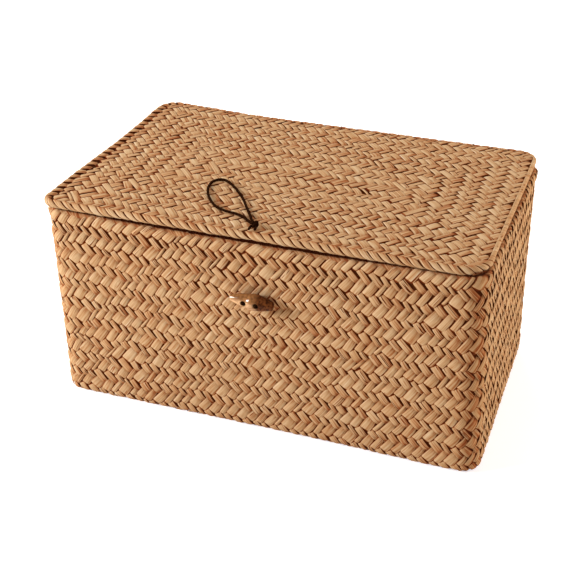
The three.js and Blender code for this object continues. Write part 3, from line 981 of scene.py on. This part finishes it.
FIELD_PLAIT = {
    "lift": (0.15, 0.25), "bow": (0.2, 0.1), "crown": (0.55, 0.4), "tilt": (0.1, 0.1), "dive": (1.4, 1.3),
    "left_ramp": (1.2, 1.2), "right_ramp": (2.8, 2.8), "fill": (1.1, 0.92), "taper": (0.05, 0.02),
    "lightness": (0.635, 0.57), "variety": (0.03, 0.03), "slits": (0.2, 0.25), "sides": (0.9, 1.25),
    "fading": (0.3, 0.4), "turn": (0.0, 0.0),
}

# How far each strip lies off its even place, in strips, so that they are as wide and narrow as strips
# cut by hand. The first row is for the strips that fall and the second for those that rise. Of those
# that rise, every other one is also wider at both sides, and those between are narrower.
STRIP_SPREADS = ((0.25,), (0.36,))
STRIPS_OFF = random.normal(0, STRIP_SPREADS, (2, WALL_STRIPS))
PAIR_WIDENING = np.array((0.0, 0.08))


def strip_edges(way, place):
    """Where the near and far edges of a strip lie, in strips. way is 0 if it falls and 1 if it rises."""
    before, here, after = [
        beside + STRIPS_OFF[way, beside % WALL_STRIPS] for beside in (place - 1, place, place + 1)]
    wider = PAIR_WIDENING[way] * np.where(place % 2 == 0, 1, -1)
    return (before + here) / 2 - wider, (here + after) / 2 + wider


def strips_mesh(name, template, points, tones, mirrored):
    """One mesh of as many strips as there are rows of points, each strip with its own tones.

    The map of a mirrored strip runs the other way across it."""
    count = len(points)
    bm = bmesh.new()
    for _ in range(count):
        bm.from_mesh(template)
    mesh = to_mesh(name, bm)
    mesh.vertices.foreach_set("co", points.astype(np.float32).ravel())
    tone = np.repeat(np.hstack(tones), points.shape[1], 0)
    mesh.attributes.new("strip_tone", "FLOAT_COLOR", "POINT").data.foreach_set(
        "color", tone.astype(np.float32).ravel())
    uv = np.empty(2 * len(template.loops), np.float32)
    template.uv_layers["strip"].data.foreach_get("uv", uv)
    uv = np.tile(uv.reshape(-1, 2), (count, 1, 1))
    uv[mirrored, :, 1] = 1 - uv[mirrored, :, 1]
    mesh.uv_layers["strip"].data.foreach_set("uv", uv.ravel())
    mesh.update()
    bpy.data.meshes.remove(template)
    return mesh


def crowded(shares, power):
    """Places on a grid with its lines drawn towards its borders."""
    return np.sign(shares) * np.abs(shares) ** power


# How strips differ by chance: their turn, in radians, their length and width, as shares, how high they
# lie and how far aside. Then how much narrower a loose strip is, how the lines of a strip's grid are
# drawn to its borders, and how late its crown falls off.
TURN_SPREAD = 0.05
LENGTH_SPREAD = 0.04
WIDTH_SPREAD = 0.035
HEIGHT_SPREAD = 0.08 * MM
ASIDE_SPREAD = 0.14 * MM
LOOSE_SHRINKAGE = 0.27
CROWDING_ALONG = 0.8
CROWDING_ACROSS = 0.6
CROWN_POWER = 5


def strip_template(steps_along):
    """The mesh of one flat strip, and how far along and across it each vertex lies, from -1 to 1."""
    strip = grid_with_uv(steps_along, STRIP_STEPS_ACROSS)
    a, b = grid_shares(strip)
    return to_mesh("strip", strip), a, crowded(b, CROWDING_ACROSS)


def lay_strips(name, runs, step, origin, surface, plait, loose=0.0, longer=0.0, shade=1.0, painted_darkening=0.0):
    """One mesh of crowned strips, one for each run, whose ends dive under their neighbours.

    step is the half distance between crossings each way, origin the place of crossing (0, 0), loose
    how far the strips have shrunk and split, longer how much further they go to the right, in strips
    crossed, shade how dark the painted shade at their sides and ends is, and the last how much darker
    the strips are painted as shade. Each is one value, or a column of them."""
    each = (len(runs), 1)
    column, row, length, slant = runs.T[..., None]
    way = (slant > 0).astype(int)
    place = (column - slant * row) // 2
    crossed = (column + slant * row) // 2
    near, far = strip_edges(way, place)
    first = strip_edges(1 - way, crossed)[0]
    last = strip_edges(1 - way, crossed + length - 1)[1] + longer
    pitch = math.hypot(*step)
    spread = 2 * step[0] * step[1] / pitch
    centre_x = origin[0] + (first + last + near + far) / 2 * step[0]
    centre_y = origin[1] + slant * (first + last - near - far) / 2 * step[1]
    own = {trait: np.array(pair)[way] for trait, pair in plait.items()}
    slope = math.atan2(step[1], step[0])
    wider = np.sin(slope + own["turn"]) / math.sin(slope)
    angle = slant * (slope + own["turn"]) + random.normal(0, TURN_SPREAD, each)
    half_run = (last - first) * pitch / 2 / wider * random.normal(1, LENGTH_SPREAD, each)
    half_width = (far - near) * spread / 2 * wider * own["fill"] * (1 - LOOSE_SHRINKAGE * loose)
    half_width = half_width * random.normal(1, WIDTH_SPREAD, each)
    lift = own["lift"] * MM + random.normal(0, HEIGHT_SPREAD, each)
    tilt = slant * own["tilt"] * MM + random.normal(0, HEIGHT_SPREAD, each)
    bow = own["bow"] * MM + random.normal(0, HEIGHT_SPREAD, each)
    aside = random.normal(0, ASIDE_SPREAD, each)
    lightness = own["lightness"] + own["variety"] * random.normal(0, 1, each) - painted_darkening
    slits = own["slits"] * random.uniform(0, 2, each) + loose
    sides = own["sides"] * shade * (1 - own["fading"] * random.uniform(0, 1, each))
    seed = random.uniform(0, 1, each)

    template, a, b = strip_template(STRIP_STEPS_ALONG)
    a = crowded(a, CROWDING_ALONG)
    along = a * (half_run + STRIP_TUCK)
    ramp = np.where(a < 0, own["left_ramp"], own["right_ramp"]) * MM
    dive = smooth_step((np.abs(along) - half_run + ramp) / (ramp + STRIP_TUCK))
    across = b * half_width * (1 - own["taper"] * dive) + aside
    crown = own["crown"] * MM * np.abs(b) ** CROWN_POWER
    height = lift - own["dive"] * MM * dive - crown + tilt * b + bow * (1 - a * a)
    x = centre_x + along * np.cos(angle) - across * np.sin(angle)
    y = centre_y + along * np.sin(angle) + across * np.cos(angle)
    tones = [lightness, seed, slits, sides]
    return strips_mesh(name, template, surface(x, y, height), tones, slant[:, 0] > 0)


def wall_top(column, row):
    """Rows of rising and falling strips take turns, two crossings each."""
    return 1 if row % 4 >= 2 else -1


def make_walls():
    step = (wall_outline.girth / (2 * WALL_STRIPS), WALL_STEP)
    first_row = -FIRST_ROW_BELOW_RIM + 1.5 * WALL_STEP
    low = math.ceil((wall_profile.rise[0] - first_row) / WALL_STEP)
    high = math.floor((wall_profile.rise[-1] - first_row) / WALL_STEP)
    rim_rows = (0, 1)
    corner_middle = (wall_outline.marks[1] + wall_outline.marks[2]) / 2
    parts = [
        ("body_outer_strips", range(low, rim_rows[0]), WALL_PLAIT, "body_outer_plait"),
        ("body_rim_strips", rim_rows, RIM_PLAIT, "body_rim_fold"),
        ("body_inner_strips", range(rim_rows[-1] + 1, high + 1), WALL_PLAIT, "body_inner_plait"),
    ]
    for name, rows, plait, node in parts:
        columns = range(-2, 2 * WALL_STRIPS + 2)
        crossings = {(column, row) for row in rows for column in columns if (column + row) % 2 == 0}
        runs = runs_of(crossings, wall_top)
        runs = runs[(runs[:, 0] >= 0) & (runs[:, 0] < 2 * WALL_STRIPS)]
        column, row = runs.T[:2, :, None]
        loose = np.exp(-((row - LOOSE_ROW) / LOOSE_ROWS) ** 2) * random.uniform(0, 1, row.shape)
        longer = np.where(row == TOP_ROW, TOP_ROW_LONGER, 0)
        # Strips near the front right corner are painted darker as shade, where the front turns from the
        # light
        from_corner = (column + 1) * step[0] - corner_middle
        painted_darkening = CORNER_PAINTED_SHADE * np.exp(-(from_corner / CORNER_PAINTED_SHADE_HALF) ** 2)
        origin = (0.0, first_row)
        mesh = lay_strips(name, runs, step, origin, wall_surface, plait, loose, longer, painted_darkening=painted_darkening)
        add_object(mesh, leaf, "box", "plaited_leaf", node)


make_walls()


# How much of its way past the outline a pressed point keeps, and how dark the painted shade at the sides
# and ends of a field's rows may be
PRESSED_SHARE = 0.1
ROW_SHADES = (0.8, 1.5)


def keep_within(x, y, length, depth, radii):
    """Points with those past a rounded outline pressed up to it. The radii are those of its corners."""
    right_radius = np.where(y < 0, radii[0], radii[1])
    left_radius = np.where(y < 0, radii[3], radii[2])
    radius = np.where(x > 0, right_radius, left_radius)
    past_x = np.maximum(np.abs(x) - (length / 2 - radius), 0)
    past_y = np.maximum(np.abs(y) - (depth / 2 - radius), 0)
    past = np.maximum(np.hypot(past_x, past_y), radius)
    cut = 1 - (radius + PRESSED_SHARE * (past - radius)) / past
    return x - np.sign(x) * past_x * cut, y - np.sign(y) * past_y * cut


def field_strips(name, length, depth, radii, step, surface, shrunk):
    """A level field of plait whose rows follow the nearest side, clipped to a rounded outline.

    shrunk is the place of a strip that has dried to a thread, from the middle of the field, or None."""
    columns = math.floor(length / 2 / step[0])
    rows = math.floor(depth / 2 / step[1])

    def top(column, row):
        from_edge = min(columns - abs(column), rows - abs(row))
        return -1 if from_edge % 4 >= 2 else 1

    def inside(column, row):
        x, y = column * step[0], row * step[1]
        return np.allclose((x, y), keep_within(x, y, length, depth, radii))

    def surface_within(x, y, height):
        return surface(*keep_within(x, y, length, depth, radii), height)

    crossings = {
        (column, row)
        for column in range(-columns, columns + 1)
        for row in range(-rows, rows + 1)
        if (column + row) % 2 == 0 and inside(column, row)
    }
    runs = runs_of(crossings, top)
    column, row, count, slant = runs.T[..., None]
    from_edge = np.minimum(columns - np.abs(column), rows - np.abs(row))
    shade = random.uniform(*ROW_SHADES, from_edge.max() + 1)[from_edge]
    loose = np.zeros_like(shade)
    if shrunk:
        away_x = (column + (count - 1) / 2) * step[0] - shrunk[0]
        away_y = (row + slant * (count - 1) / 2) * step[1] - shrunk[1]
        loose[np.hypot(away_x, away_y).argmin()] = SHRUNK_LOOSENESS
    return lay_strips(name, runs, step, (0.0, 0.0), surface_within, FIELD_PLAIT, loose, shade=shade)


LID_FIELD_INSET = 2.6 * MM
LID_FIELD_LEFT = 8 * MM
LID_FIELD_RIGHT = 1.4 * MM
BASE_FIELD_INSET = 12 * MM
SHRUNK_STRIP = (56 * MM, -14 * MM)
SHRUNK_LOOSENESS = 2.4


def make_fields():
    lid_radii = [radius - LID_FIELD_INSET for radius in LID_CORNER_RADII]
    lid_depth = LID_DEPTH - 2 * LID_FIELD_INSET
    top_size = (LID_LENGTH - LID_FIELD_LEFT - LID_FIELD_RIGHT, lid_depth, lid_radii)
    top_centre = ((LID_FIELD_LEFT - LID_FIELD_RIGHT) / 2, LID_CENTRE_Y)
    under_size = (LID_LENGTH - 2 * LID_FIELD_INSET, lid_depth, lid_radii)
    base_radii = [CORNER_RADIUS - BASE_FIELD_INSET] * 4
    base_size = (BASE_LENGTH - 2 * BASE_FIELD_INSET, BASE_DEPTH - 2 * BASE_FIELD_INSET, base_radii)
    lid_top = flat_surface(LID_FIELD_TOP, 1, top_centre, settle_lid)
    lid_under = flat_surface(LID_FIELD_BOTTOM, -1, (0, LID_CENTRE_Y), settle_lid)
    floor = flat_surface(WALL, 1, (0, 0), settle_body)
    underside = flat_surface(UNDERSIDE_LEVEL, -1, (0, 0), settle_body)
    in_top = (SHRUNK_STRIP[0] - top_centre[0], SHRUNK_STRIP[1] - top_centre[1])
    fields = [
        ("lid_top_strips", top_size, LID_STEP, lid_top, in_top, "lid", ["lid_top_plait"]),
        ("lid_under_strips", under_size, LID_STEP, lid_under, None, "lid", ["lid_under_plait"]),
        ("floor_strips", base_size, BASE_STEP, floor, None, "box", []),
        ("underside_strips", base_size, BASE_STEP, underside, None, "box", []),
    ]
    for name, size, step, surface, shrunk, body, nodes in fields:
        mesh = field_strips(name, *size, step, surface, shrunk)
        add_object(mesh, leaf, body, "plaited_leaf", *nodes)


make_fields()


# How the strips of the lid's edge differ by chance, and what they have in common. Those with painted
# shade at their sides, the fingers, are lighter and differ more.
EDGE_PLACE_SPREAD = 0.25 * MM
EDGE_WIDTH_SPREAD = 0.04
EDGE_HEIGHT_SPREAD = 0.1 * MM
EDGE_TILT = -0.1 * MM
EDGE_TILT_SPREAD = 0.06 * MM
EDGE_SLOPE_SPREAD = 0.05
EDGE_LIGHTNESS = 0.6
EDGE_LIGHTER = 0.08
EDGE_LIGHTNESS_SPREAD = 0.05
EDGE_SMOOTH_SPREAD = 0.3
EDGE_SLITS = 0.25
EDGE_CROWN_POWER = 2.6
EDGE_DIVE = 0.9 * MM
EDGE_DIVE_SHARE = 0.25


def make_lid_edge():
    """Strips that wrap the lid's edge at a slant, from the top round to the underside."""
    marks = np.insert(lid_outline.marks, 3, lid_outline.marks[2] + EDGE_SMOOTHING)
    places = np.arange(0, lid_outline.girth, MM)
    tally = np.cumsum(1 / np.interp(places, marks, EDGE_PITCHES))
    count = round(tally[-1])
    each = (count, 1)
    start = np.interp(np.arange(count) / count * tally[-1], tally, places)[:, None]
    start = start + random.normal(0, EDGE_PLACE_SPREAD, each)

    def here(values):
        return np.interp(start, marks, values)

    sides = here(EDGE_SIDES)
    low = edge_profile.rise[0]
    high = edge_profile.rise[1 + 2 * ARC_STEPS] + here(EDGE_WRAPS) * MM
    half_width = here(EDGE_PITCHES) * MM / 2 * here(EDGE_FILLS) * random.normal(1, EDGE_WIDTH_SPREAD, each)
    lift = here(EDGE_LIFTS) * MM + sides * random.normal(0, EDGE_HEIGHT_SPREAD, each)
    tilt = sides * random.normal(EDGE_TILT, EDGE_TILT_SPREAD, each)
    slope = np.tan(np.radians(here(EDGE_SLANTS))) * random.normal(1, EDGE_SLOPE_SPREAD, each)
    differing = EDGE_SMOOTH_SPREAD + (1 - EDGE_SMOOTH_SPREAD) * sides
    lightness = EDGE_LIGHTNESS + EDGE_LIGHTER * sides
    lightness = lightness + differing * random.normal(0, EDGE_LIGHTNESS_SPREAD, each)
    slits = EDGE_SLITS * sides * random.uniform(0, 2, each)
    seed = random.uniform(0, 1, each)

    template, a, b = strip_template(EDGE_STEPS_ALONG)
    rise = low + (a + 1) / 2 * (high - low)
    taper = here(EDGE_TAPERS) * smooth_step(rise / high)
    around = start - slope * rise + b * half_width * (1 - taper)
    near_end = np.clip((np.abs(a) - 1) / EDGE_DIVE_SHARE + 1, 0, 1)
    crown = here(EDGE_CROWNS) * MM * np.abs(b) ** EDGE_CROWN_POWER
    height = lift + tilt * b - crown - EDGE_DIVE * near_end ** 2
    points = lid_edge_surface(edge_profile)(around, rise, height)
    tones = [lightness, seed, slits, sides]
    mesh = strips_mesh("lid_edge_strips", template, points, tones, np.zeros(count, bool))
    add_object(mesh, leaf, "lid", "plaited_leaf", "lid_edge_fold")


make_lid_edge()


# A dark sheet just under the strips, painted shade for the inside of the plait seen through its gaps

CORE_STEPS_AROUND = 160
CORE_STEP_UP = 6 * MM
CORE_SHEET_STEPS = (36, 24)


def core_round(outline, profile, surface, depth):
    """A wall under the strips, all round an outline."""
    rises = np.union1d(profile.rise, np.arange(profile.rise[0], profile.rise[-1], CORE_STEP_UP))
    bm = grid_with_uv(CORE_STEPS_AROUND, len(rises) - 1)
    a, b = grid_shares(bm)
    around = (a + 1) / 2 * outline.girth
    rise = rises[np.rint((b + 1) / 2 * (len(rises) - 1)).astype(int)]
    move_verts(bm, surface(around, rise, np.full_like(rise, -depth)))
    bmesh.ops.remove_doubles(bm, verts=bm.verts, dist=WELD_DISTANCE)
    return bm


def core_sheet(level, facing):
    """A level sheet in the middle of the lid, just under its strips."""
    bm = grid_with_uv(*CORE_SHEET_STEPS)
    a, b = grid_shares(bm)
    x = a * (LID_LENGTH / 2 - CORE_SHEET_INSET)
    y = b * (LID_DEPTH / 2 - CORE_SHEET_INSET)
    surface = flat_surface(level, facing, (0, LID_CENTRE_Y), settle_lid)
    move_verts(bm, surface(x, y, np.zeros_like(x)))
    return bm


def make_cores():
    body = core_round(wall_outline, wall_profile, wall_surface, BODY_CORE_DEPTH)
    bmesh.ops.holes_fill(body, edges=body.edges, sides=0)
    add_object(to_mesh("body_plait_core", body), gaps, "box", "plaited_leaf")
    edge = core_round(lid_outline, core_profile, lid_edge_surface(core_profile), 0.0)
    top = core_sheet(LID_FIELD_TOP - LID_CORE_DEPTH, 1)
    under = core_sheet(LID_FIELD_BOTTOM + LID_CORE_DEPTH, -1)
    add_object(to_mesh("lid_plait_core", joined(edge, top, under)), gaps, "lid", "plaited_leaf")


make_cores()


# Light and floor. Each lamp has its place, its size in metres, its watts and its colour. The fill comes
# from all round, where the camera sees white.

FLOOR_HALF = 6
FLOOR_COLOUR = (0.92, 0.87, 0.8, 1)
FLOOR_GLOW = (0.85, 0.9, 1, 1)
FLOOR_GLOW_STRENGTH = 0.64
LAMPS = {
    "left_softbox": ((-1.4, -0.9, 0.8), 0.5, 39, (1, 1, 1)),
    "right_softbox": ((1.4, 0.5, 0.55), 1.1, 19.5, (1, 0.89, 0.78)),
    "top_softbox": ((-0.5, 0.7, 1.6), 0.9, 13, (0.88, 0.96, 1)),
}
LAMP_AIM = Vector((0, 0, 0.1))
FILL_COLOUR = (1, 0.88, 0.74, 1)
FILL_STRENGTH = 0.3
SEEN_COLOUR = (1, 1, 1, 1)
SEEN_STRENGTH = 1.0


def floor_look(tree):
    glow = add_math(tree, "MULTIPLY", seen_by(tree, "Camera", "Glossy"), FLOOR_GLOW_STRENGTH)
    return {
        "Base Color": FLOOR_COLOUR,
        "Roughness": 0.9,
        "Emission Color": FLOOR_GLOW,
        "Emission Strength": glow,
    }


def make_stage():
    bm = bmesh.new()
    bmesh.ops.create_grid(bm, x_segments=1, y_segments=1, size=FLOOR_HALF)
    floor = new_object("floor", to_mesh("floor", bm))
    floor.data.materials.append(new_material("white_floor", floor_look))


def add_lamp(name, place, size, watts, colour):
    data = bpy.data.lights.new(name, "AREA")
    data.size = size
    data.energy = watts
    data.color = colour
    lamp = new_object(name, data)
    lamp.location = place
    lamp.rotation_euler = (LAMP_AIM - Vector(place)).to_track_quat("-Z", "Y").to_euler()


def make_light():
    for name, lamp in LAMPS.items():
        add_lamp(name, *lamp)
    world = bpy.data.worlds.new("studio")
    bpy.context.scene.world = world
    world.use_nodes = True
    tree = world.node_tree
    seen = seen_by(tree, "Camera", "Transmission")
    set_inputs(tree, tree.nodes["Background"], {
        "Color": add_mix(tree, seen, FILL_COLOUR, SEEN_COLOUR),
        "Strength": add_range(tree, seen, 0, 1, FILL_STRENGTH, SEEN_STRENGTH),
    })
    bpy.context.scene.view_settings.view_transform = "Standard"


make_stage()
make_light()
